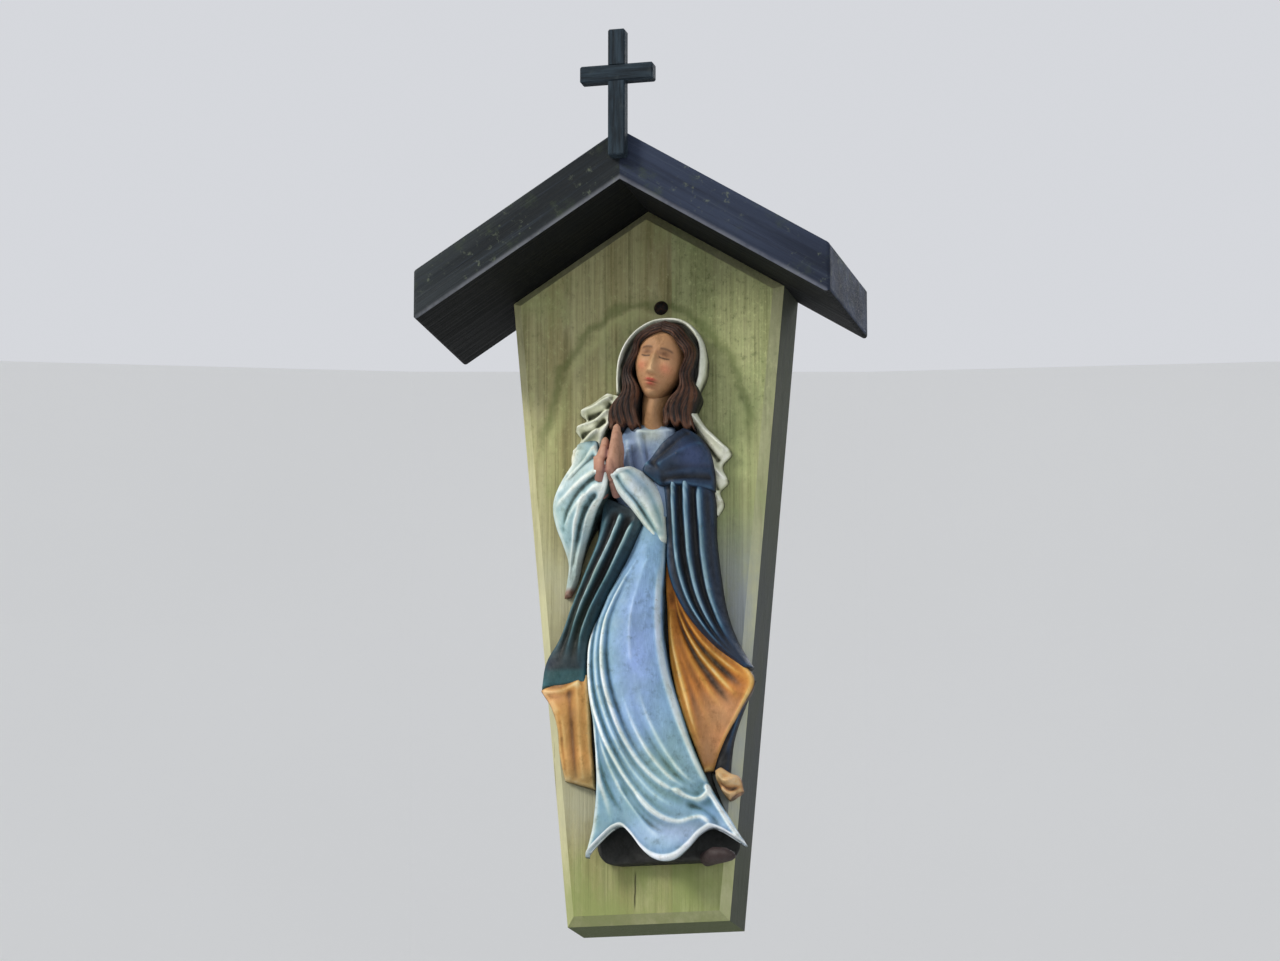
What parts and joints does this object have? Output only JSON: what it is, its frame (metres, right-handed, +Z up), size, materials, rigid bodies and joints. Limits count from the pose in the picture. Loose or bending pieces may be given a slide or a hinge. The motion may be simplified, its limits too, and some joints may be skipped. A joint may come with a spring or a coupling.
{
  "type": "wayside shrine",
  "caption": "Small roofed wooden shrine that hangs on a trunk: tapered board, gable roof, cross and carved praying figure.",
  "frame": {"origin": "on the board's flat back, on the centre line, half way up the board", "axes": "+Z up, +X to the right of a person facing the shrine, +Y into the trunk, so the front faces -Y"},
  "size_m": [0.233, 0.108, 0.4833],
  "materials": {
    "board_wood": "weathered, green with algae",
    "board_wood_green": "weathered, green with algae",
    "roof_wood": "dark stain, weathered",
    "cross_wood": "dark stain, weathered",
    "painted_carving": "painted wood carving, weathered",
    "nail_iron": "rusty"
  },
  "bodies": {
    "root": {"back_board_left": "board_wood", "back_board_right": "board_wood_green", "roof_board_left": "roof_wood", "roof_board_right": "roof_wood", "cross_post": "cross_wood", "cross_arm": "cross_wood", "praying_figure": "painted_carving", "figure_nail": "nail_iron"}
  },
  "joints": []
}
